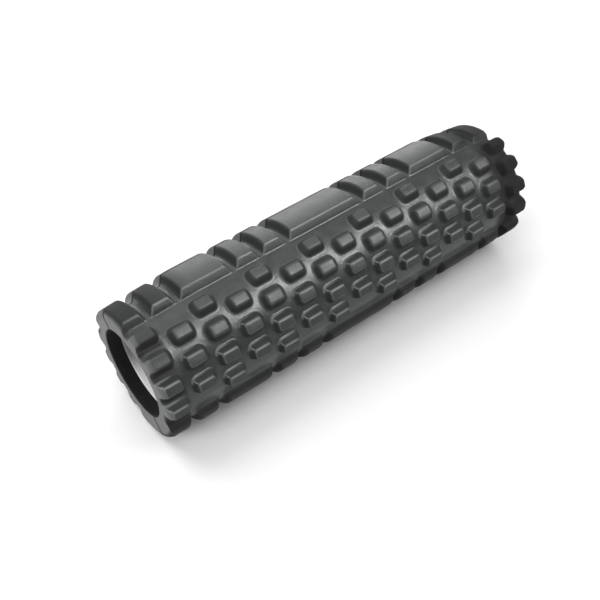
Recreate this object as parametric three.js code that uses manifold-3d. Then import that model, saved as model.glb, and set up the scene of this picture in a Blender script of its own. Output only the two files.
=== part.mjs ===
// A textured foam massage roller, in millimetres.
// Two moulded foam halves are bonded along their length around a stiff, slightly shorter core tube.
// The roller lies along X and rests on the surface z = 0, with its axis above the origin.

import * as THREE from 'three';
import { mergeVertices } from 'three/addons/utils/BufferGeometryUtils.js';
import Module from 'manifold-3d';

const wasm = await Module();
wasm.setup();

// Overall size of the foam sleeve.
const LENGTH = 260;
const OUTER_RADIUS = 40;
const GROOVE_RADIUS = 35.2;
const BORE_RADIUS = 26.4;
const BOND_GAP = 0.3;

// Rings of relief along the axis. Both ends have a ring whose outer flank runs out at the end face.
const RING_COUNT = 15;
const RING_PITCH = 17.6;

// Small bumps: rings with four of them alternate with rings with three, set half a step over.
const BUMP_STEP = THREE.MathUtils.degToRad(23);
const BUMPS_IN_EVEN_RING = 4;
const BUMPS_IN_ODD_RING = 3;
const BUMP_TOP_LENGTH = 9.2;
const BUMP_TOP_WIDTH = 5.6;
const BUMP_TOP_CORNER = 0.9;
const BUMP_ROOT = 2;

// Every bump and ridge has sloping sides that spread by this much from its top to the groove floor.
const FLANK = 2.7;
const RELIEF = OUTER_RADIUS - GROOVE_RADIUS;

// Ridges cross the bond line. Each entry is the number of rings that one ridge covers, end to end.
const RIDGE_RINGS = [1, 1, 2, 1, 1, 3, 1, 1, 2, 1, 1];
const RIDGE_TOP_EDGE = THREE.MathUtils.degToRad(54.2);
const RIDGE_ROOT_EDGE = THREE.MathUtils.degToRad(49.5);
const RIDGE_ROOT = 2;

// Core tube: its ends sit a little way inside the foam.
const TUBE_RECESS = 8;
const TUBE_CLEARANCE = 0.3;
const TUBE_WALL = 2;
const TUBE_EDGE = 0.5;

// Facets around the whole circumference.
const WALL_FACETS = 72;
const RIDGE_FACETS = 36;
const TUBE_FACETS = 48;

// Room left past a piece by the shapes that trim it.
const MARGIN = 5;

const ringPosition = (index) => (index - (RING_COUNT - 1) / 2) * RING_PITCH;

// A point in the cross-section: angle zero is the middle of a half, and positive angles go towards -Y.
const sectionPoint = (radius, angle) => new THREE.Vector2(-radius * Math.sin(angle), radius * Math.cos(angle));

function toSolid(geometry) {
  geometry.deleteAttribute('normal');
  geometry.deleteAttribute('uv');
  const merged = mergeVertices(geometry);
  return new wasm.Manifold(new wasm.Mesh({
    numProp: 3,
    vertProperties: merged.attributes.position.array,
    triVerts: Uint32Array.from(merged.index.array),
  }));
}

function toGeometry(solid) {
  const mesh = solid.getMesh();
  const geometry = new THREE.BufferGeometry();
  geometry.setAttribute('position', new THREE.BufferAttribute(mesh.vertProperties, mesh.numProp));
  geometry.setIndex(new THREE.BufferAttribute(mesh.triVerts, 1));
  geometry.computeVertexNormals();
  return geometry;
}

// Extrudes a cross-section outline, drawn in Y and Z, along X, centred on the origin.
function extrudeAlongAxis(outline, length) {
  const geometry = new THREE.ExtrudeGeometry(outline, {
    depth: length,
    bevelEnabled: false,
    curveSegments: WALL_FACETS / 4,
  });
  const toAxis = new THREE.Matrix4().makeBasis(
    new THREE.Vector3(0, 1, 0),
    new THREE.Vector3(0, 0, 1),
    new THREE.Vector3(1, 0, 0),
  );
  return geometry.translate(0, 0, -length / 2).applyMatrix4(toAxis);
}

// The wall of one foam half: half of a thick tube.
function halfWall() {
  const outline = new THREE.Shape();
  outline.absarc(0, 0, GROOVE_RADIUS, 0, Math.PI, false);
  outline.absarc(0, 0, BORE_RADIUS, Math.PI, 0, true);
  return toSolid(extrudeAlongAxis(outline, LENGTH));
}

// A ring with sloping sides, all the way round, that covers one or more ring positions.
function ridgeRing(position, topLength) {
  const halfTop = topLength / 2;
  const halfRoot = halfTop + FLANK * (1 + RIDGE_ROOT / RELIEF);
  const rootRadius = GROOVE_RADIUS - RIDGE_ROOT;
  const profile = [
    new THREE.Vector2(rootRadius, -halfRoot),
    new THREE.Vector2(OUTER_RADIUS, -halfTop),
    new THREE.Vector2(OUTER_RADIUS, halfTop),
    new THREE.Vector2(rootRadius, halfRoot),
    new THREE.Vector2(rootRadius, -halfRoot),
  ];
  const geometry = new THREE.LatheGeometry(profile, RIDGE_FACETS);
  return toSolid(geometry.rotateZ(-Math.PI / 2).translate(position, 0, 0));
}

function allRidgeRings() {
  let rings = null;
  let first = 0;
  for (const covered of RIDGE_RINGS) {
    const middle = (ringPosition(first) + ringPosition(first + covered - 1)) / 2;
    const ring = ridgeRing(middle, BUMP_TOP_LENGTH + (covered - 1) * RING_PITCH);
    rings = rings ? rings.add(ring) : ring;
    first += covered;
  }
  return rings;
}

// The stretch of the cross-section that the ridges keep on one side of a half (side is 1 or -1).
// Its inner edge is the sloping front face that the ridges share.
function ridgeBand(side) {
  const rootEdge = sectionPoint(GROOVE_RADIUS, RIDGE_ROOT_EDGE);
  const topEdge = sectionPoint(OUTER_RADIUS, RIDGE_TOP_EDGE);
  const outwards = topEdge.clone().sub(rootEdge);
  const inside = rootEdge.clone().sub(outwards);
  const outside = topEdge.clone().add(outwards);
  const farEdge = -OUTER_RADIUS - MARGIN;
  const corners = [
    inside,
    outside,
    new THREE.Vector2(farEdge, outside.y),
    new THREE.Vector2(farEdge, -MARGIN),
    new THREE.Vector2(inside.x, -MARGIN),
  ];
  const outline = new THREE.Shape(corners.map((corner) => new THREE.Vector2(side * corner.x, corner.y)));
  return toSolid(extrudeAlongAxis(outline, LENGTH + 2 * MARGIN));
}

// A rectangle with its four corners cut off.
function cutRectangle(length, width, corner) {
  const x = length / 2;
  const y = width / 2;
  const quarter = [new THREE.Vector2(x, y - corner), new THREE.Vector2(x - corner, y)];
  const half = [...quarter, ...quarter.map((point) => new THREE.Vector2(-point.x, point.y)).reverse()];
  return new THREE.Shape([...half, ...half.map((point) => point.clone().negate())]);
}

// One small bump, with its flat top's edges on the outer radius and its root inside the wall.
function bump(position, angle) {
  const topRadius = Math.sqrt(OUTER_RADIUS ** 2 - (BUMP_TOP_WIDTH / 2) ** 2);
  const height = topRadius - GROOVE_RADIUS;
  const geometry = new THREE.ExtrudeGeometry(
    cutRectangle(BUMP_TOP_LENGTH, BUMP_TOP_WIDTH, BUMP_TOP_CORNER),
    {
      depth: BUMP_ROOT,
      bevelEnabled: true,
      bevelSegments: 1,
      bevelThickness: height,
      bevelSize: FLANK,
    },
  );
  geometry.translate(0, 0, GROOVE_RADIUS - BUMP_ROOT).rotateX(angle).translate(position, 0, 0);
  return toSolid(geometry);
}

function allBumps() {
  const bumps = [];
  for (let ring = 0; ring < RING_COUNT; ring += 1) {
    const count = ring % 2 === 0 ? BUMPS_IN_EVEN_RING : BUMPS_IN_ODD_RING;
    for (let row = 0; row < count; row += 1) {
      bumps.push(bump(ringPosition(ring), (row - (count - 1) / 2) * BUMP_STEP));
    }
  }
  return wasm.Manifold.union(bumps);
}

// One moulded half, with its bond faces just above z = 0 and its relief facing +Z.
function foamHalf() {
  const rings = allRidgeRings();
  const ridges = rings.intersect(ridgeBand(1)).add(rings.intersect(ridgeBand(-1)));
  const height = OUTER_RADIUS + MARGIN;
  const mould = new THREE.BoxGeometry(LENGTH, 2 * height, height).toNonIndexed();
  mould.translate(0, 0, (height + BOND_GAP) / 2);
  return toGeometry(halfWall().add(ridges).add(allBumps()).intersect(toSolid(mould)));
}

// The core tube, with its end edges slightly chamfered.
function coreTube() {
  const outer = BORE_RADIUS - TUBE_CLEARANCE;
  const inner = outer - TUBE_WALL;
  const end = LENGTH / 2 - TUBE_RECESS;
  const profile = [
    new THREE.Vector2(inner + TUBE_EDGE, -end),
    new THREE.Vector2(outer - TUBE_EDGE, -end),
    new THREE.Vector2(outer, -end + TUBE_EDGE),
    new THREE.Vector2(outer, end - TUBE_EDGE),
    new THREE.Vector2(outer - TUBE_EDGE, end),
    new THREE.Vector2(inner + TUBE_EDGE, end),
    new THREE.Vector2(inner, end - TUBE_EDGE),
    new THREE.Vector2(inner, -end + TUBE_EDGE),
    new THREE.Vector2(inner + TUBE_EDGE, -end),
  ];
  return toGeometry(toSolid(new THREE.LatheGeometry(profile, TUBE_FACETS).rotateZ(-Math.PI / 2)));
}

function piece(name, geometry, material) {
  const mesh = new THREE.Mesh(geometry, material);
  mesh.name = name;
  return mesh;
}

const foam = new THREE.MeshStandardMaterial({ color: 0x3b3e3f, roughness: 0.55, metalness: 0 });
const tubePlastic = new THREE.MeshStandardMaterial({ color: 0xd9dad8, roughness: 0.45, metalness: 0 });

// The roller lies still in the widest gap of its relief: the one between the last bumps and the ridges.
const lastBumpRow = ((BUMPS_IN_EVEN_RING - 1) / 2) * BUMP_STEP;
const lastBumpEdge = lastBumpRow + Math.asin(BUMP_TOP_WIDTH / 2 / OUTER_RADIUS);
const restingTurn = (lastBumpEdge + RIDGE_TOP_EDGE) / 2;

const halfGeometry = foamHalf();
const frontHalf = piece('front_foam_half', halfGeometry, foam);
const backHalf = piece('back_foam_half', halfGeometry, foam);
frontHalf.rotation.x = restingTurn;
backHalf.rotation.x = restingTurn + Math.PI;

const roller = new THREE.Group();
roller.name = 'foam_roller';
roller.add(frontHalf, backHalf, piece('core_tube', coreTube(), tubePlastic));

// Sets the roller down on z = 0.
roller.position.z = -new THREE.Box3().setFromObject(roller, true).min.z;

export default roller;
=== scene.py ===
"""A textured foam massage roller on a pale floor: two moulded foam halves bonded around a core tube.

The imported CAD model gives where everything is. This script makes the fine foam surfaces, the tube,
their materials, the floor, the lights and the camera. Lengths are in metres, and angles are in radians
except where a comment says degrees. The near end is the one at low x, whose face the photo shows.
"""

from math import asin, cos, pi, radians, sin

import bpy
import numpy as np
from mathutils import Matrix, Vector


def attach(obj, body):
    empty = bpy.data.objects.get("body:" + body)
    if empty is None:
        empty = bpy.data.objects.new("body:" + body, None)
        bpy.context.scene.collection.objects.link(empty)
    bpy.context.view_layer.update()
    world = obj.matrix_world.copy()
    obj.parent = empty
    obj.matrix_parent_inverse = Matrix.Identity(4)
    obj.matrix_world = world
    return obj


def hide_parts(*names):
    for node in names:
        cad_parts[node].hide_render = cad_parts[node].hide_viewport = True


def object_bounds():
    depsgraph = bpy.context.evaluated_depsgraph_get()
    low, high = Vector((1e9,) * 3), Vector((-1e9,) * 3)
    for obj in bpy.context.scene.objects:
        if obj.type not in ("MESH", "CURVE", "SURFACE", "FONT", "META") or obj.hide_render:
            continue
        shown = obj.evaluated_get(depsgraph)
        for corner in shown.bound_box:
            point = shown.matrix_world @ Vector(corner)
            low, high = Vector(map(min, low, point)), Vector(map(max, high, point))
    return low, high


MM = 0.001

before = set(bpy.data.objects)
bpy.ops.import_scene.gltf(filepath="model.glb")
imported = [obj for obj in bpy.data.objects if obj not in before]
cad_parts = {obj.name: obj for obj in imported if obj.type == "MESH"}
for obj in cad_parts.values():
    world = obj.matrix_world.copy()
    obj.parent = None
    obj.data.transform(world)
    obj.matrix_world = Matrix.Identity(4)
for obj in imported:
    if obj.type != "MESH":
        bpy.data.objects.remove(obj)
cad_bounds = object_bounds()

# ---------------------------------------------------------------------------------------------
# Sizes. The length and the axis come from the frame, and the relief repeats the moulding's design.
# ---------------------------------------------------------------------------------------------

low, high = (Vector(corner) for corner in cad_bounds)
LENGTH = high.x - low.x
AXIS = (low + high) / 2

OUTER_RADIUS = 40 * MM
GROOVE_RADIUS = 35.2 * MM
BORE_RADIUS = 26.4 * MM
RELIEF = OUTER_RADIUS - GROOVE_RADIUS

RING_COUNT = 15
RING_PITCH = 17.6 * MM
LAST_RING = RING_COUNT // 2
HALF_TURN = pi
QUARTER_TURN = pi / 2

# Rings with four bumps alternate with rings with three, set half a step over.
BUMP_STEP = radians(23)
OUTER_ROW = 1.5 * BUMP_STEP
BUMP_TOP_LENGTH = 9.2 * MM
BUMP_TOP_WIDTH = 5.6 * MM
BUMP_TOP_CORNER = 0.9 * MM
FLANK = 2.7 * MM
BUMP_TOP_ANGLE = asin(BUMP_TOP_WIDTH / 2 / OUTER_RADIUS)
BUMP_ROOT_ANGLE = asin((BUMP_TOP_WIDTH / 2 + FLANK) / GROOVE_RADIUS)

# The number of rings that each ridge covers, end to end.
RIDGE_RINGS = (1, 1, 2, 1, 1, 3, 1, 1, 2, 1, 1)
RIDGE_TOP_EDGE = radians(54.2)
RIDGE_ROOT_EDGE = radians(49.5)
RIDGE_CORNER = 0.7 * MM

# On the side of each half with positive angles, the ridges start this much further from its bumps.
WIDE_GAP = radians(4.2)

# How softly the moulding turns from a flank to a top and from a flank to the groove floor.
TOP_ROUNDING = 1.1 * MM
ROOT_ROUNDING = 0.9 * MM

# In the end rings, the flanks that face an end fall away more gently. These are shares of the usual
# slope, and the last one is for the ridges lower down, at both ends.
NEAR_BUMP_FLANK = 0.6
FAR_BUMP_FLANK = 0.3
NEAR_RIDGE_FLANK = 0.7
LOWER_RIDGE_FLANK = 0.3

# Where those begin and are complete, as minus the cosine of the angle from straight up.
LOWER_SIDE = (-0.4, 0.1)

# The rounding of an end's edge is small at the tops and larger at the groove floor.
END_ROUNDING = 1.4 * MM
END_GROOVE_ROUNDING = 3.8 * MM
BORE_ROUNDING = 0.9 * MM
BOND_ROUNDING = 0.55 * MM
BOND_GAP = 0.2 * MM

# The foam's waviness: its size, and the waves that make it up. Each has a number of waves per
# millimetre along and around the roller, and a start.
UNEVENNESS = 0.07 * MM
WAVES = (
    (1 / 41, 0, 0.3),
    (1 / 23, 1 / 31, 1.7),
    (0, 1 / 37, 4.1),
    (1 / 67, -1 / 29, 2.2),
    (1 / 15, 1 / 53, 5.0),
)

# Past these distances from the middle, the ridges along the top lie lower, by up to these amounts.
NEAR_TAPER_START = 86 * MM
FAR_TAPER_START = 95 * MM
NEAR_TAPER = 2.5 * MM
FAR_TAPER = 4.0 * MM

# Where that fades out, to the front and to the back of the upper bond line, in degrees.
TAPER_FRONT = (35, 60)
TAPER_BACK = (12, 40)

TUBE_RECESS = 8 * MM
TUBE_RADIUS = 26.1 * MM
TUBE_WALL = 2 * MM
TUBE_EDGE = 0.5 * MM
TUBE_FACETS = 160
TUBE_EDGE_STEPS = 4
TUBE_BORE_POINTS = 13

# Where the painted shade on the tube starts and is complete, in degrees to each side of its lowest line,
# which stays pale.
LIT_TUBE_FLOOR = (18, 62)

# The floor is a square that reaches this far from the middle.
FLOOR_REACH = 3.0

# The roller rests on the gap between the back half's last bumps and its ridges.
RESTING_TURN = (OUTER_ROW + BUMP_TOP_ANGLE + RIDGE_TOP_EDGE) / 2


# ---------------------------------------------------------------------------------------------
# The relief of one foam half, as a height over the groove floor.
# x runs along the axis, and the angle is zero at the middle of the half.
# ---------------------------------------------------------------------------------------------


def smooth_min(a, b, reach):
    """The smaller of two values, blended where they are closer than reach."""
    blend = np.clip(0.5 + 0.5 * (b - a) / reach, 0, 1)
    return b + (a - b) * blend - reach * blend * (1 - blend)


def smooth_max(a, b, reach):
    """The larger of two values, blended where they are closer than reach."""
    return -smooth_min(-a, -b, reach)


def rising(value, start, end):
    """Goes smoothly from 0 at start to 1 at end."""
    share = np.clip((value - start) / (end - start), 0, 1)
    return share * share * (3 - 2 * share)


def falling(value, start, end):
    """Goes smoothly from 1 at start to 0 at end."""
    return 1 - rising(value, start, end)


def band(value, middle, half_width):
    """One at the middle of a narrow band, and zero outside it."""
    return np.clip(1 - np.abs(value - middle) / half_width, 0, 1)


def height_from_distance(distance):
    """The height at a distance outside a top's edge: a top, a straight flank and the groove floor."""
    flank = RELIEF * (1 - distance / FLANK)
    return smooth_max(smooth_min(flank, RELIEF, TOP_ROUNDING), 0, ROOT_ROUNDING)


def nearest_step(value, step, offset, limit):
    """How far value is from the nearest place among offset, offset ± step and so on, within ±limit."""
    place = np.round((value - offset) / step) * step + offset
    return value - np.clip(place, -limit, limit)


def nearest_ring(x):
    return np.clip(np.round(x / RING_PITCH), -LAST_RING, LAST_RING)


def past_last_ring(x, beyond):
    """Whether a point is on a flank that faces an end of the roller."""
    return (np.abs(x) > LAST_RING * RING_PITCH) & (beyond > 0)


def bump_offsets(x, angle):
    """How far a point is past the edges of the nearest bump's top, along and around."""
    per_radian = FLANK / (BUMP_ROOT_ANGLE - BUMP_TOP_ANGLE)
    ring = nearest_ring(x)
    four_bumps = ring % 2 == 1
    across = np.where(
        four_bumps,
        nearest_step(angle, BUMP_STEP, BUMP_STEP / 2, OUTER_ROW),
        nearest_step(angle, BUMP_STEP, 0, BUMP_STEP),
    )
    beyond = np.abs(x - ring * RING_PITCH) - BUMP_TOP_LENGTH / 2
    gentler = np.where(x < 0, NEAR_BUMP_FLANK, FAR_BUMP_FLANK)
    along = np.where(past_last_ring(x, beyond), gentler * beyond, beyond)
    return along, (np.abs(across) - BUMP_TOP_ANGLE) * per_radian


def bump_distance(x, angle):
    """The distance outside the nearest bump's top, which is a rounded rectangle."""
    u, v = (offset + BUMP_TOP_CORNER for offset in bump_offsets(x, angle))
    outside = np.hypot(np.maximum(u, 0), np.maximum(v, 0))
    return outside + np.minimum(np.maximum(u, v), 0) - BUMP_TOP_CORNER


def ridge_spans():
    """The first and last place of each ridge's top along the axis."""
    first = 0
    for covered in RIDGE_RINGS:
        start = (first - (RING_COUNT - 1) / 2) * RING_PITCH
        yield start - BUMP_TOP_LENGTH / 2, start + (covered - 1) * RING_PITCH + BUMP_TOP_LENGTH / 2
        first += covered


def ridge_offsets(x, angle):
    """How far a point is past the edges of the nearest ridge's top, along and around."""
    per_radian = FLANK / (RIDGE_TOP_EDGE - RIDGE_ROOT_EDGE)
    along = np.min([np.maximum(start - x, x - end) for start, end in ridge_spans()], axis=0)
    top_edge = RIDGE_TOP_EDGE + np.where(angle > 0, WIDE_GAP, 0)
    return along, (top_edge - np.abs(angle)) * per_radian


def ridge_distance(x, angle, turn):
    """The distance outside the nearest ridge's top, whose edges meet in nearly square corners."""
    along, around = ridge_offsets(x, angle)
    lower_side = rising(-np.cos(angle + turn), *LOWER_SIDE)
    upper_flank = np.where(x < 0, NEAR_RIDGE_FLANK, 1)
    gentler = upper_flank + (LOWER_RIDGE_FLANK - upper_flank) * lower_side
    along = np.where(past_last_ring(x, along), gentler * along, along)
    return smooth_max(along, around, RIDGE_CORNER)


def relief(x, angle, turn):
    """The height of the bumps and ridges over the groove floor."""
    bumps = height_from_distance(bump_distance(x, angle))
    ridges = height_from_distance(ridge_distance(x, angle, turn))
    return np.maximum(bumps, ridges)


def unevenness(x, angle, turn):
    """The slight waviness that foam keeps as it cools."""
    arc = (angle + turn) * GROOVE_RADIUS
    total = sum(
        np.sin(2 * pi * (x * along + arc * around) / MM + start)
        for along, around, start in WAVES
    )
    return UNEVENNESS * total / len(WAVES)


def taper(x, angle, turn):
    """How much smaller the radius is along the top of the roller towards its ends."""
    start = np.where(x < 0, NEAR_TAPER_START, FAR_TAPER_START)
    past = np.clip((np.abs(x) - start) / (LENGTH / 2 - start), 0, 1)
    from_seam = (np.degrees(angle + turn - RESTING_TURN) + 90 + 180) % 360 - 180
    along_top = falling(from_seam, *TAPER_FRONT) * falling(-from_seam, *TAPER_BACK)
    return np.where(x < 0, NEAR_TAPER, FAR_TAPER) * past * along_top


def rounding(depth, radius):
    """How far a rounded edge falls away, by how deep into the rounding a point is."""
    inside = np.clip(depth, 0, radius)
    return radius - np.sqrt(np.maximum(radius**2 - inside**2, 0))


# ---------------------------------------------------------------------------------------------
# Painted shade and painted highlights on the foam, fitted to the photo's light. A facing is in degrees from
# straight up, towards -Y. A place on a bump is 1 at the edge of its top. Apart from the painted highlight
# lines, a pair of
# numbers is a fade: where something starts and is complete, or where it starts to go and is gone.
# ---------------------------------------------------------------------------------------------

# Painted highlight lines along the edges: how far outside a top's edge each one lies, and half its width.
BUMP_TOP_LINE = (0.05 * MM, 0.5 * MM)
BUMP_LOWER_ROOT_LINE = (2.8 * MM, 0.5 * MM)
BUMP_UPPER_ROOT_LINE = (2.4 * MM, 0.5 * MM)
BUMP_CORNER_LINE = (0, 0.7 * MM)
RIDGE_TOP_LINE = (0, 0.6 * MM)
RIDGE_ROOT_LINE = (2.9 * MM, 0.7 * MM)
RIDGE_CORNER_LINE = (0.2 * MM, 0.9 * MM)

# How strong the ridges' painted highlight lines are, and the share that is left on the lower ridges.
RIDGE_TOP_HIGHLIGHT = 0.3
RIDGE_ROOT_HIGHLIGHT = 0.05
RIDGE_CORNER_HIGHLIGHT = 0.6
LOWER_RIDGE_HIGHLIGHT = 0.25

# Facings where the bumps' shading changes.
HIGHLIGHTED_TOPS = (26, 50)
FIRST_ROW = (16, 26)
UPPER_ROWS = (25, 33)
MIDDLE_ROWS_START = (34, 44)
MIDDLE_ROWS_END = (56, 64)
LOWEST_ROWS = (58, 66)
SHADED_TOPS = (45, 70)

# Places on a bump: its sides, just outside the edge of its top.
LEFT_SIDE = (0.9, 1.2)
UPPER_OR_LOWER_SIDE = (1.1, 1.6)

# Heights, as a share of the relief.
ON_TOP = (0.6, 1)
OFF_FLOOR = (0.1, 0.35)

# Places along the axis where the painted highlights, painted light and painted shade change, towards the near
# end and the far end.
RIDGE_HIGHLIGHT_STARTS = (-118 * MM, -112 * MM)
RIDGE_HIGHLIGHT_ENDS = (95 * MM, 112 * MM)
ALL_HIGHLIGHT_ENDS = (75 * MM, 115 * MM)
PALE_FRONTS_START = (-122 * MM, -112 * MM)
PALE_FRONTS_END = (80 * MM, 108 * MM)
DARK_FRONTS_START = (92 * MM, 112 * MM)
PALE_FLOOR_STARTS = (-112 * MM, -100 * MM)
PALE_FLOOR_ENDS = (95 * MM, 110 * MM)

# The same for the rings at the ends, as distances from the middle of the roller.
NEAR_RING_TOPS = (114 * MM, 118 * MM)
NEAR_RING_GROOVES = (115 * MM, 117 * MM)
NEAR_RING_SHADOW = (116 * MM, 118 * MM)
NEAR_END_FLANKS = (LENGTH / 2 - 2.9 * MM, LENGTH / 2 - 2.2 * MM)
FAR_RING_SHADOW = (106 * MM, 114 * MM)
FAR_END_FADE = 2.5 * MM

# Angles from the middle of a half: the gap between the last bumps and the wide-gap ridges, the
# painted light on the floor there, and the front faces of those ridges.
LAST_GAP_START = (radians(39), radians(41))
LAST_GAP_END = (radians(56), radians(60))
PALE_FLOOR_ANGLE = (radians(39), radians(43))
LOWER_FRONTS = (radians(53), radians(55))

# How strong each painted shade, painted light and paler cut face is, where 1 is full strength.
BACK_HALF_FLANKS = 0.25
NEAR_GROOVE_SHADE = 0.75
NEAR_TOP_SHADE = 0.5
LOWER_TOP_SHADE = 0.3
PALE_FLOOR = 0.45
NEAR_RING_DEPTH = 0.85
LOWER_FRONT_DEPTH = 0.6
# Paleness of the cut end faces, with more painted light on the back half.
FRONT_HALF_CUT_AND_LIGHT = 0.55
BACK_HALF_CUT_AND_LIGHT = 0.9


def place_on_bump(x, angle):
    """How far a point is along and around from its bump's middle, to the right and downwards."""
    ring = nearest_ring(x)
    shift = np.where(ring % 2 == 1, BUMP_STEP / 2, 0)
    around = angle - shift - np.round((angle - shift) / BUMP_STEP) * BUMP_STEP
    return (x - ring * RING_PITCH) / (BUMP_TOP_LENGTH / 2), around / BUMP_TOP_ANGLE


def bump_highlights(x, angle, turn):
    """Painted highlights along the bumps' edges: at their roots high on the roller, and round their tops
    lower down.
    """
    distance = bump_distance(x, angle)
    rightwards, downwards = place_on_bump(x, angle)
    along, around = bump_offsets(x, angle)
    lower_down = rising(np.degrees(angle + turn), *HIGHLIGHTED_TOPS)

    top = band(distance, *BUMP_TOP_LINE) * (0.1 + 0.9 * lower_down)
    top *= 0.35 + 0.65 * rising(-downwards, 0.3, 1.1)
    top *= 1 - 0.6 * rising(rightwards, 0.3, 1.1)

    lower_root = band(distance, *BUMP_LOWER_ROOT_LINE) * (1 - lower_down)
    lower_root *= 0.1 + 0.7 * rising(downwards, 0, 1.5)

    upper_root = band(distance, *BUMP_UPPER_ROOT_LINE) * lower_down
    upper_root *= rising(-rightwards - downwards, 1.2, 2.6) * rising(-downwards, 0.4, 1.2)

    corner = band(along - around, *BUMP_CORNER_LINE) * lower_down
    corner *= (np.minimum(along, around) > 0) & (distance < BUMP_UPPER_ROOT_LINE[0])
    corner *= (rightwards < 0) & (downwards < 0)
    return np.max([top, corner, lower_root, upper_root], axis=0)


def ridge_highlights(x, angle):
    """Painted highlights along the ridges' edges: faint round the front face, and clearer down its corners.
    """
    along, around = ridge_offsets(x, angle)
    top = RIDGE_TOP_HIGHLIGHT * band(around, *RIDGE_TOP_LINE) * (along < 1 * MM)
    top *= rising(around - along, -0.8 * MM, 0)
    root = RIDGE_ROOT_HIGHLIGHT * band(around, *RIDGE_ROOT_LINE) * (along < 2 * MM)
    corner = RIDGE_CORNER_HIGHLIGHT * band(along - around, *RIDGE_CORNER_LINE)
    corner *= rising(around, -0.6 * MM, 0.2 * MM) * falling(around, 2.5 * MM, 3.2 * MM)
    lines = np.max([top, root, corner], axis=0) * np.where(angle < 0, 1, LOWER_RIDGE_HIGHLIGHT)
    return lines * rising(x, *RIDGE_HIGHLIGHT_STARTS) * (1 - 0.8 * rising(x, *RIDGE_HIGHLIGHT_ENDS))


def edge_highlights(x, angle, turn):
    """Where the moulding's edges get painted highlights."""
    lines = np.maximum(bump_highlights(x, angle, turn), ridge_highlights(x, angle))
    return lines * (1 - 0.6 * rising(x, *ALL_HIGHLIGHT_ENDS))


def on_upper_front(x, angle):
    """Whether a point is on the front face of a ridge on the side with negative angles."""
    along, around = ridge_offsets(x, angle)
    on_front = (along < around) & (around > -0.5 * MM) & (around < 1.3 * FLANK)
    return (angle < 0) & on_front


def steepness(lift):
    """One half way up a flank, and zero at its top and at its foot."""
    return np.clip(4.5 * lift * (1 - lift), 0, 1)


def beside_rows(angle):
    """How far an angle is past the tops of the nearest row of bumps in the end rings."""
    return np.abs(nearest_step(angle, BUMP_STEP, BUMP_STEP / 2, OUTER_ROW)) - BUMP_TOP_ANGLE


def near_end_flanks(x, angle):
    """The flanks that face the near end, which the light from that side reaches."""
    return rising(-x, *NEAR_END_FLANKS) * falling(beside_rows(angle), 0, radians(2.5))


def flank_shade(x, angle, turn, lift):
    """How much painted shade each place gets: the flanks, less where light reaches them, and some of the
    tops.
    """
    facing = np.degrees(angle + turn)
    rightwards, downwards = place_on_bump(x, angle)
    off_upper_ridges = angle > -RIDGE_ROOT_EDGE
    steep = steepness(lift)
    flanks = np.where(on_upper_front(x, angle), steep * rising(x, *DARK_FRONTS_START), steep)
    grooves = rising(-x, *NEAR_RING_GROOVES) * rising(beside_rows(angle), 0, radians(3)) * (facing > 5)
    shade = np.maximum(flanks, NEAR_GROOVE_SHADE * grooves * (1 - lift))
    shade *= 1 - near_end_flanks(x, angle)
    shade *= np.where(x > 0, np.clip((LENGTH / 2 - x) / FAR_END_FADE, 0, 1), 1)
    shade *= 1 if faces_photo(turn) else BACK_HALF_FLANKS

    left_side = rising(-rightwards, *LEFT_SIDE)
    upper_side = rising(-downwards, *UPPER_OR_LOWER_SIDE)
    lower_side = rising(downwards, *UPPER_OR_LOWER_SIDE)
    paler_above = (falling(facing, *UPPER_ROWS) + 0.5 * rising(facing, *LOWEST_ROWS)) * off_upper_ridges
    paler_below = rising(facing, *MIDDLE_ROWS_START) * falling(facing, *MIDDLE_ROWS_END)
    shade *= 1 - 0.5 * falling(facing, *FIRST_ROW) * left_side * off_upper_ridges
    shade *= 1 - 0.35 * paler_above * upper_side
    shade *= 1 - 0.35 * paler_below * lower_side

    near_tops = rising(-x, *NEAR_RING_TOPS) * rising(lift, *ON_TOP)
    near_tops *= np.where(facing > -6, falling(facing, 30, 40), rising(-facing, 20, 30))
    lower_tops = rising(facing, *SHADED_TOPS) * rising(lift, *ON_TOP) * (angle < RIDGE_ROOT_EDGE)
    return np.max([shade, NEAR_TOP_SHADE * near_tops, LOWER_TOP_SHADE * lower_tops], axis=0)


def painted_front_light(x, angle, turn, lift):
    """Painted light: the paler front faces of ridges at negative angles, and on the front half the paler
    floor of the last gap.
    """
    fronts = steepness(lift) * rising(lift, *OFF_FLOOR) * on_upper_front(x, angle)
    fronts *= rising(x, *PALE_FRONTS_START) * falling(x, *PALE_FRONTS_END)
    floor = PALE_FLOOR * rising(angle, *PALE_FLOOR_ANGLE) * falling(lift, 0.05, 0.3) * faces_photo(turn)
    floor *= rising(x, *PALE_FLOOR_STARTS) * falling(x, *PALE_FLOOR_ENDS)
    return np.maximum(fronts, floor)


def deep_shade(x, angle, turn, lift):
    """The near-black places of the half that faces the photo."""
    if not faces_photo(turn):
        return np.zeros_like(x)
    facing = np.degrees(angle + turn)
    downwards = place_on_bump(x, angle)[1]
    far = rising(x, *FAR_RING_SHADOW) * (0.5 + 0.5 * rising(facing, -8, 12))
    far *= rising(facing, -42, -25) * falling(facing, 108, 130)
    last_gap = rising(angle, *LAST_GAP_START) * falling(angle, *LAST_GAP_END)
    near = rising(-x, *NEAR_RING_SHADOW) * rising(facing, 5, 12) * (LENGTH / 2 - np.abs(x) > 0.2 * MM)
    near *= np.maximum(rising(downwards, 0.9, 1.4), last_gap)
    lower_fronts = rising(angle, *LOWER_FRONTS) * rising(lift, 0.1, 0.4)
    return np.max([far, NEAR_RING_DEPTH * near, LOWER_FRONT_DEPTH * lower_fronts], axis=0)


def faces_photo(turn):
    """Whether a half is the front one, which the photo shows."""
    return turn < HALF_TURN


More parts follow.
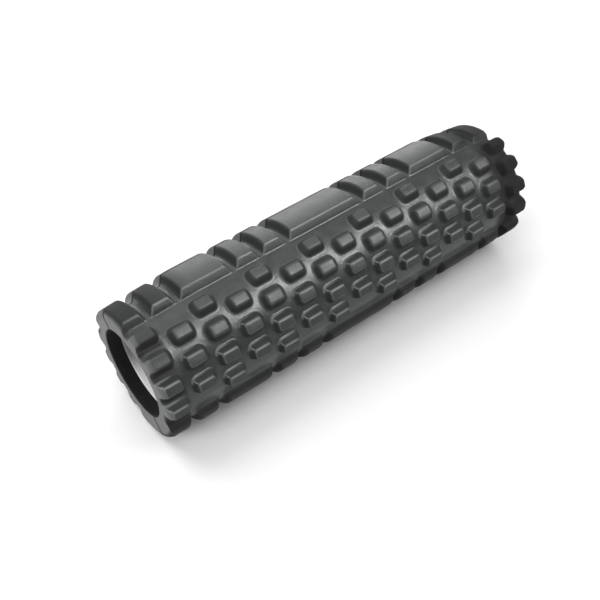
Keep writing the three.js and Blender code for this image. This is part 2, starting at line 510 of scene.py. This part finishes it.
def paint_foam(mesh, radius, x, angle, turn):
    """Paints a foam half's shading. Rows past the outside's are the end faces and the bore."""
    outside = np.arange(len(radius))[:, None] < len(places_along())
    lift = np.clip((radius - GROOVE_RADIUS) / RELIEF, 0, 1)
    face = np.clip(1 - (LENGTH / 2 - np.abs(x)) / (0.6 * MM), 0, 1)
    side = np.where(outside, steepness(lift) * near_end_flanks(x, angle), 0)
    lines = edge_highlights(x, angle, turn) if faces_photo(turn) else np.zeros_like(x)
    seam = np.clip(2.2 - (QUARTER_TURN - np.abs(angle)) * OUTER_RADIUS / (0.45 * MM), 0, 1)
    # Painted shade: darker flanks, less where the light reaches them, and some darker tops.
    paint(mesh, "flank", np.where(outside, flank_shade(x, angle, turn, lift), 0))
    # Painted light on the ridges' front faces and on the floor of the last gap.
    paint(mesh, "front", np.where(outside, painted_front_light(x, angle, turn, lift), 0))
    # The cut end faces are paler foam; painted light makes the near end's flanks paler too, and the back
    # half's end face paler than the front's.
    paint(mesh, "cut_face_and_painted_light", np.maximum(face, side) * (FRONT_HALF_CUT_AND_LIGHT if faces_photo(turn) else BACK_HALF_CUT_AND_LIGHT))
    # Painted shade inside the bore, up to the inner part of its rounded mouth.
    paint(mesh, "bore", np.clip(1 - (radius - BORE_RADIUS) / (0.5 * BORE_ROUNDING), 0, 1))
    # Painted highlights along the moulding's edges, on the front half only.
    paint(mesh, "edge", np.where(outside, lines, 0))
    paint(mesh, "seam", seam * np.ones_like(radius))
    paint(mesh, "top", rising(lift, 0.4, 1))
    paint(mesh, "shaded", np.where(outside, deep_shade(x, angle, turn, lift), 0))


def paint(mesh, name, values):
    """Stores a number for each point, for the materials to read."""
    attribute = mesh.attributes.new(name, "FLOAT", "POINT")
    attribute.data.foreach_set("value", values.ravel())


# ---------------------------------------------------------------------------------------------
# The foam half as one closed mesh: a grid of profiles, each round the wall at one angle.
# ---------------------------------------------------------------------------------------------

# Where the grid's rows lie: on one side of a ring, in millimetres, then round its end's edge, across
# the end face, round the mouth of the bore and down the bore.
RING_PLACES = (0, 2.2, 3.6, 4.1, 4.45, 4.8, 5.3, 6.0, 6.6, 7.0, 7.35, 7.8)
END_STEPS = 5
FACE_SHARES = (0.12, 0.3, 0.5, 0.7, 0.88, 1)
BORE_MOUTH_STEPS = 3
BORE_SHARES = np.linspace(0.9, -0.9, 7)

# Where its columns lie, in degrees: across half a bump, and over the ridges' front faces and tops.
BUMP_PLACES = (0, 1.3, 2.0, 2.5, 3.0, 3.5, 4.0, 4.5, 5.1, 5.75)
RIDGE_FRONT_PLACES = np.arange(46.5, 60.6, 0.5)
RIDGE_TOP_PLACES = (62, 65, 68, 72, 76, 80, 84, 87, 88.8)

# The last columns, in radians before the bond face.
BOND_PLACES = (0.016, 0.011, 0.0065, 0.003, 0)


def mirrored(offsets):
    """Offsets from a middle, and the same to its other side."""
    return sorted({sign * value for value in offsets for sign in (-1, 1)})


def places_along():
    """Places along the outside, close together where a bump or ridge changes slope."""
    ring = mirrored(value * MM for value in RING_PLACES)
    places = [index * RING_PITCH + offset for index in range(-LAST_RING, LAST_RING + 1) for offset in ring]
    places += [(index + 0.5) * RING_PITCH for index in range(-LAST_RING, LAST_RING)]
    body = [x for x in places if abs(x) < LENGTH / 2 - END_ROUNDING - 0.1 * MM]
    swings = [step * QUARTER_TURN / END_STEPS for step in range(END_STEPS + 1)]
    edge = [LENGTH / 2 - END_ROUNDING * (1 - sin(swing)) for swing in swings]
    return np.array(sorted(body + edge + [-x for x in edge]))


def places_around():
    """Angles across the half, close together over the bumps and the ridges' front faces."""
    half_step = BUMP_STEP / 2
    in_bump = np.radians(BUMP_PLACES)
    in_step = np.concatenate([in_bump, half_step - in_bump[-2:0:-1]])
    field = [index * half_step + offset for index in range(4) for offset in in_step]
    ridges = [*np.radians(RIDGE_FRONT_PLACES), *np.radians(RIDGE_TOP_PLACES)]
    bond = [QUARTER_TURN - angle for angle in BOND_PLACES]
    return np.array(mirrored(field + ridges + bond))


def end_rows(side, edge):
    """Rows from the outer edge of one end face into the bore, as radius and x."""
    end = np.full_like(edge, side * LENGTH / 2)
    mouth = BORE_RADIUS + BORE_ROUNDING
    rows = [(edge + (mouth - edge) * share, end) for share in FACE_SHARES]
    for step in range(1, BORE_MOUTH_STEPS + 1):
        swing = step * QUARTER_TURN / BORE_MOUTH_STEPS
        radius = BORE_RADIUS + BORE_ROUNDING * (1 - sin(swing))
        rows.append((np.full_like(edge, radius), end - side * BORE_ROUNDING * (1 - cos(swing))))
    return rows


def foam_profiles(turn):
    """Radius and x of every grid point, and each column's angle. Rows go round the wall."""
    angle = places_around()
    outer_x, outer_angle = np.meshgrid(places_along(), angle, indexing="ij")
    height = relief(outer_x, outer_angle, turn)
    softer = END_GROOVE_ROUNDING + (END_ROUNDING - END_GROOVE_ROUNDING) * rising(height, 0, 0.6 * RELIEF)
    to_bond = BOND_ROUNDING - (QUARTER_TURN - np.abs(outer_angle)) * OUTER_RADIUS
    outer = GROOVE_RADIUS + height + unevenness(outer_x, outer_angle, turn)
    outer -= rounding(np.abs(outer_x) - (LENGTH / 2 - softer), softer) + rounding(to_bond, BOND_ROUNDING)
    outer -= taper(outer_x, outer_angle, turn)
    bore_radius = np.full_like(angle, BORE_RADIUS)
    bore = [(bore_radius, np.full_like(angle, share * LENGTH / 2)) for share in BORE_SHARES]
    rows = [*zip(outer, outer_x), *end_rows(1, outer[-1]), *bore, *reversed(end_rows(-1, outer[0]))]
    return np.array([radius for radius, _ in rows]), np.array([x for _, x in rows]), angle


def foam_half(name, turn):
    """One closed foam half. turn is the angle from straight up, towards -Y, to the half's middle."""
    radius, x, angle = foam_profiles(turn)
    rows, columns = radius.shape
    across = -radius * np.sin(angle)
    up = np.maximum(radius * np.cos(angle), 0) + BOND_GAP / 2
    points = np.stack([
        AXIS.x + x,
        AXIS.y + across * cos(turn) - up * sin(turn),
        AXIS.z + across * sin(turn) + up * cos(turn),
    ], axis=-1).reshape(-1, 3)

    index = np.arange(rows * columns).reshape(rows, columns)
    ahead = np.roll(index, -1, axis=0)
    quads = np.stack([index[:, :-1], ahead[:, :-1], ahead[:, 1:], index[:, 1:]], axis=-1).reshape(-1, 4)
    faces = quads.tolist() + [index[::-1, 0].tolist(), index[:, -1].tolist()]
    mesh = bpy.data.meshes.new(name)
    mesh.from_pydata(points.tolist(), [], faces)
    mesh.polygons.foreach_set("use_smooth", np.r_[np.ones(len(quads), bool), [False, False]])
    paint_foam(mesh, radius, x, angle, turn)
    mesh.validate()
    mesh.update()
    return add_object(name, mesh)


def add_object(name, mesh):
    piece = bpy.data.objects.new(name, mesh)
    bpy.context.scene.collection.objects.link(piece)
    return piece


def tube_profile():
    """The tube's cross-section on one side of its axis, with rounded edges, as x and radius."""
    end = LENGTH / 2 - TUBE_RECESS
    outer, inner = TUBE_RADIUS, TUBE_RADIUS - TUBE_WALL
    corners = ((end, outer), (end, inner), (-end, inner), (-end, outer))
    profile = []
    for quarter, (corner_x, corner_r) in enumerate(corners):
        middle_x = corner_x - np.sign(corner_x) * TUBE_EDGE
        middle_r = corner_r - (TUBE_EDGE if corner_r == outer else -TUBE_EDGE)
        for step in range(TUBE_EDGE_STEPS + 1):
            swing = QUARTER_TURN * (1 - quarter - step / TUBE_EDGE_STEPS)
            profile.append((middle_x + TUBE_EDGE * cos(swing), middle_r + TUBE_EDGE * sin(swing)))
        if quarter == 1:
            profile += [(end * share, inner) for share in np.linspace(0.9, -0.9, TUBE_BORE_POINTS)]
    return profile


def core_tube(name):
    """The tube, turned from its profile, that lies inside the foam."""
    profile = tube_profile()
    count = len(profile)
    points, faces = [], []
    for facet in range(TUBE_FACETS):
        angle = 2 * pi * facet / TUBE_FACETS
        points += [(AXIS.x + x, AXIS.y - r * sin(angle), AXIS.z + r * cos(angle)) for x, r in profile]
        here, there = facet * count, (facet + 1) % TUBE_FACETS * count
        for a in range(count):
            b = (a + 1) % count
            faces.append((here + a, here + b, there + b, there + a))
    mesh = bpy.data.meshes.new(name)
    mesh.from_pydata(points, [], faces)
    mesh.polygons.foreach_set("use_smooth", np.ones(len(faces), bool))
    facing = np.repeat(np.arange(TUBE_FACETS) * 360 / TUBE_FACETS, count)
    # Painted shade on the tube, rising away from its lowest line.
    paint(mesh, "painted_tube_shade", rising(np.abs(facing - 180), *LIT_TUBE_FLOOR))
    mesh.validate()
    mesh.update()
    return add_object(name, mesh)


# ---------------------------------------------------------------------------------------------
# Materials.
# ---------------------------------------------------------------------------------------------


class Nodes:
    """A short way to build one material's node tree."""

    def __init__(self, name):
        self.material = bpy.data.materials.new(name)
        self.material.use_nodes = True
        self.tree = self.material.node_tree
        self.shader = self.tree.nodes["Principled BSDF"]

    def add(self, kind, settings=None, **inputs):
        node = self.tree.nodes.new(kind)
        for key, value in (settings or {}).items():
            setattr(node, key, value)
        for key, value in inputs.items():
            self.put(value, node.inputs[key.replace("_", " ")])
        return node

    def put(self, value, socket):
        """Links an output to a socket, or sets the socket to a plain value."""
        if isinstance(value, bpy.types.NodeSocket):
            self.tree.links.new(value, socket)
        else:
            socket.default_value = value

    def place(self):
        return self.add("ShaderNodeTexCoord").outputs["Object"]

    def noise(self, scale, detail):
        """Soft noise. Scale is about how many spots there are in a metre."""
        node = self.add("ShaderNodeTexNoise", Vector=self.place(), Scale=scale, Detail=detail, Roughness=0.55)
        return node.outputs["Fac"]

    def attribute(self, name):
        return self.add("ShaderNodeAttribute", {"attribute_name": name}).outputs["Fac"]

    def math(self, operation, a, b=0.0, c=0.0):
        node = self.add("ShaderNodeMath", {"operation": operation})
        for value, socket in zip((a, b, c), node.inputs):
            self.put(value, socket)
        return node.outputs[0]

    def between(self, factor, a, b):
        """A number that goes from a to b as factor goes from 0 to 1."""
        return self.math("MULTIPLY_ADD", factor, b - a, a)

    def mix(self, factor, a, b):
        """A colour that goes from a to b as factor goes from 0 to 1."""
        node = self.add("ShaderNodeMix", {"data_type": "RGBA"})
        for value, socket in ((factor, node.inputs[0]), (a, node.inputs[6]), (b, node.inputs[7])):
            self.put(value, socket)
        return node.outputs[2]

    def ramp(self, factor, start, end):
        """The factor stretched so that start becomes 0 and end becomes 1."""
        node = self.add("ShaderNodeMapRange", {"clamp": True})
        for value, name in ((factor, "Value"), (start, "From Min"), (end, "From Max")):
            self.put(value, node.inputs[name])
        return node.outputs[0]

    def bump(self, height, strength, distance, under=None):
        node = self.add("ShaderNodeBump", Height=height, Strength=strength, Distance=distance)
        if under is not None:
            self.put(under, node.inputs["Normal"])
        return node.outputs[0]


def grey(value, tint=0.0):
    """A grey that leans to blue, or to red where tint is below zero."""
    return (value * (1 - tint), value, value * (1 + tint), 1)


def charcoal(value):
    """A dark grey that leans a little to green and blue."""
    return (value * 0.92, value, value, 1)


SKIN_TONES = (charcoal(0.028), charcoal(0.039))
GRAIN_TONE = charcoal(0.056)
CLOUD_TONE = charcoal(0.048)
FLANK_SHADE_TONE = charcoal(0.014)
FRONT_LIGHT_TONE = charcoal(0.088)
CUT_FACE_AND_LIT_TONE = grey(0.165)
EDGE_HIGHLIGHT_TONE = charcoal(0.25)
SHADED_TONE = grey(0.002)
BORE_SHADE_AND_SEAM_TONE = grey(0.004)


def foam_material():
    """Moulded charcoal EVA foam: a closed, slightly mottled skin over fine cells, with painted shade and
    painted light.
    """
    n = Nodes("charcoal_eva_foam")
    flank = n.attribute("flank")
    cut_face_and_painted_light = n.attribute("cut_face_and_painted_light")
    shaded = n.attribute("shaded")
    painted_bore_shade_and_seam = n.math("MAXIMUM", n.attribute("bore"), n.attribute("seam"))

    mottle = n.ramp(n.noise(160, detail=6), 0.35, 0.65)
    grain = n.ramp(n.noise(1000, detail=2), 0.35, 0.65)
    cloud = n.ramp(n.noise(28, detail=3), 0.3, 0.7)
    colour = n.mix(mottle, *SKIN_TONES)
    colour = n.mix(n.between(grain, 0, 0.45), colour, GRAIN_TONE)
    colour = n.mix(n.between(cloud, 0, 0.3), colour, CLOUD_TONE)
    # Painted shade on the flanks and on some tops.
    colour = n.mix(n.between(flank, 0, 0.95), colour, FLANK_SHADE_TONE)
    # Painted light on the ridges' front faces and the last gap's floor.
    colour = n.mix(n.attribute("front"), colour, FRONT_LIGHT_TONE)
    # Paler cut end faces, with painted light on the near end's flanks.
    colour = n.mix(cut_face_and_painted_light, colour, CUT_FACE_AND_LIT_TONE)
    # Painted highlights along the edges.
    colour = n.mix(n.between(n.attribute("edge"), 0, 0.75), colour, EDGE_HIGHLIGHT_TONE)
    colour = n.mix(n.between(shaded, 0, 0.95), colour, SHADED_TONE)
    # Painted shade in the bore, and the dark seam line along the bond.
    colour = n.mix(painted_bore_shade_and_seam, colour, BORE_SHADE_AND_SEAM_TONE)
    n.put(colour, n.shader.inputs["Base Color"])

    matte = n.math("MAXIMUM", n.math("MAXIMUM", flank, shaded), painted_bore_shade_and_seam)
    polish = n.math("ADD", n.between(mottle, 0.34, 0.42), n.between(n.attribute("top"), 0, 0.1))
    roughness = n.math("ADD", polish, n.between(matte, 0, 0.52))
    n.put(n.math("ADD", roughness, n.between(cut_face_and_painted_light, 0, 0.3)), n.shader.inputs["Roughness"])
    n.shader.inputs["Specular IOR Level"].default_value = 0.38

    pores = n.add("ShaderNodeTexVoronoi", Vector=n.place(), Scale=1500.0).outputs["Distance"]
    surface = n.bump(n.noise(3200, detail=2), 0.35, 0.12 * MM)
    surface = n.bump(pores, 0.12, 0.25 * MM, surface)
    surface = n.bump(n.noise(420, detail=3), 0.25, 0.4 * MM, surface)
    n.put(surface, n.shader.inputs["Normal"])
    return n.material


TUBE_TONES = (grey(0.90, -0.01), grey(0.95, -0.01))
TUBE_CLOUD_TONE = grey(0.7, -0.02)
TUBE_SHADE_TONE = grey(0.19, -0.02)


def tube_material():
    """Extruded pale grey plastic, with faint draw lines along its length, and painted shade away from its
    lowest line.
    """
    n = Nodes("pale_tube_plastic")
    stretched = n.add("ShaderNodeMapping", Vector=n.place(), Scale=(6, 900, 900)).outputs[0]
    lines = n.add("ShaderNodeTexNoise", Vector=stretched, Scale=1.0, Detail=3.0).outputs["Fac"]
    cloud = n.noise(60, detail=3)
    colour = n.mix(n.ramp(lines, 0.3, 0.7), *TUBE_TONES)
    colour = n.mix(n.between(cloud, 0, 0.3), colour, TUBE_CLOUD_TONE)
    # Painted shade on the tube, away from its lowest line.
    colour = n.mix(n.between(n.attribute("painted_tube_shade"), 0, 0.92), colour, TUBE_SHADE_TONE)
    n.put(colour, n.shader.inputs["Base Color"])
    n.put(n.between(cloud, 0.38, 0.52), n.shader.inputs["Roughness"])
    n.put(n.bump(lines, 0.15, 0.1 * MM), n.shader.inputs["Normal"])
    return n.material


def floor_material():
    """Matt, nearly white paper."""
    n = Nodes("pale_floor")
    paper = n.ramp(n.noise(9, detail=5), 0.3, 0.7)
    n.put(n.mix(paper, grey(0.92), grey(0.94)), n.shader.inputs["Base Color"])
    n.shader.inputs["Roughness"].default_value = 0.8
    return n.material


# ---------------------------------------------------------------------------------------------
# The pieces.
# ---------------------------------------------------------------------------------------------


def add_pieces():
    foam = foam_material()
    for name, node, turn in (
        ("front_foam_moulding", "front_foam_half", RESTING_TURN),
        ("back_foam_moulding", "back_foam_half", RESTING_TURN + HALF_TURN),
    ):
        half = foam_half(name, turn)
        half.data.materials.append(foam)
        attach(half, "root")
        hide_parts(node)
    tube = core_tube("core_tube_wall")
    tube.data.materials.append(tube_material())
    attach(tube, "root")
    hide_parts("core_tube")


def add_floor():
    mesh = bpy.data.meshes.new("floor")
    corners = [(x * FLOOR_REACH, y * FLOOR_REACH, low.z) for x, y in ((-1, -1), (1, -1), (1, 1), (-1, 1))]
    mesh.from_pydata(corners, [], [(0, 1, 2, 3)])
    floor = add_object("floor", mesh)
    floor.data.materials.append(floor_material())


# ---------------------------------------------------------------------------------------------
# Light and camera. The camera is fitted to the photo. Its sensor and lens are in millimetres.
# ---------------------------------------------------------------------------------------------

SENSOR_WIDTH = 36
LENS = 52.807
CAMERA_AZIMUTH = radians(40.466)
CAMERA_DROP = radians(51.725)
CAMERA_ROLL = radians(3.729)
CAMERA_DISTANCE = 518.16 * MM
CAMERA_AIM = Vector((-20.5, -4.6, -13.26)) * MM
WORLD_STRENGTH = 0.2


def direction(azimuth, drop):
    """The way to look at an azimuth, clockwise from +Y as seen from above, and down by drop."""
    return Vector((cos(drop) * sin(azimuth), cos(drop) * cos(azimuth), -sin(drop)))


def turned(forward, roll):
    """A rotation that looks along forward, with its right-hand side raised by roll."""
    right = forward.cross(Vector((0, 0, 1))).normalized()
    upward = right.cross(forward)
    across = right * cos(roll) + upward * sin(roll)
    return Matrix((across, (-forward).cross(across), -forward)).transposed().to_euler()


def add_softbox(name, toward, distance, along, across, power, diffuse=True):
    """A rectangular light that looks at the roller, with one side along it.

    With diffuse off, it adds to the sheen alone.
    """
    light = bpy.data.lights.new(name, "AREA")
    light.shape = "RECTANGLE"
    light.size = along
    light.size_y = across
    light.energy = power
    lamp = bpy.data.objects.new(name, light)
    back = Vector(toward).normalized()
    right = (Vector((1, 0, 0)) - back * back.x).normalized()
    lamp.location = AXIS + back * distance
    lamp.rotation_euler = Matrix((right, back.cross(right), back)).transposed().to_euler()
    lamp.visible_diffuse = diffuse
    bpy.context.scene.collection.objects.link(lamp)


def add_lights():
    add_softbox("front", (0.42, -0.47, 0.78), distance=1.1, along=0.42, across=0.6, power=3.2)
    add_softbox("sheen", (0.37, -0.41, 0.82), distance=1.1, along=0.36, across=0.26, power=17, diffuse=False)
    add_softbox("rim", (0.44, 0.88, 0.04), distance=1.2, along=0.8, across=0.16, power=4.0, diffuse=False)
    add_softbox("left", (-0.78, -0.14, 0.61), distance=1.1, along=0.4, across=0.4, power=4.2)
    add_softbox("back_key", (-0.25, 0.50, 0.83), distance=1.2, along=0.85, across=0.85, power=8.4)
    add_softbox("back_panel", (0.45, 0.75, 0.46), distance=1.2, along=0.7, across=0.6, power=3.4)
    add_softbox("overhead", (0, 0.02, 1), distance=1.3, along=1.4, across=1.4, power=5.3)
    world = bpy.data.worlds.new("studio")
    world.use_nodes = True
    background = world.node_tree.nodes["Background"]
    background.inputs["Color"].default_value = grey(1.0)
    background.inputs["Strength"].default_value = WORLD_STRENGTH
    bpy.context.scene.world = world
    bpy.context.scene.view_settings.view_transform = "Standard"


def add_camera():
    data = bpy.data.cameras.new("camera")
    data.sensor_width = SENSOR_WIDTH
    data.lens = LENS
    camera = bpy.data.objects.new("camera", data)
    forward = direction(CAMERA_AZIMUTH, CAMERA_DROP)
    camera.location = AXIS + CAMERA_AIM - forward * CAMERA_DISTANCE
    camera.rotation_euler = turned(forward, CAMERA_ROLL)
    bpy.context.scene.collection.objects.link(camera)
    bpy.context.scene.camera = camera


add_pieces()
add_floor()
add_lights()
add_camera()
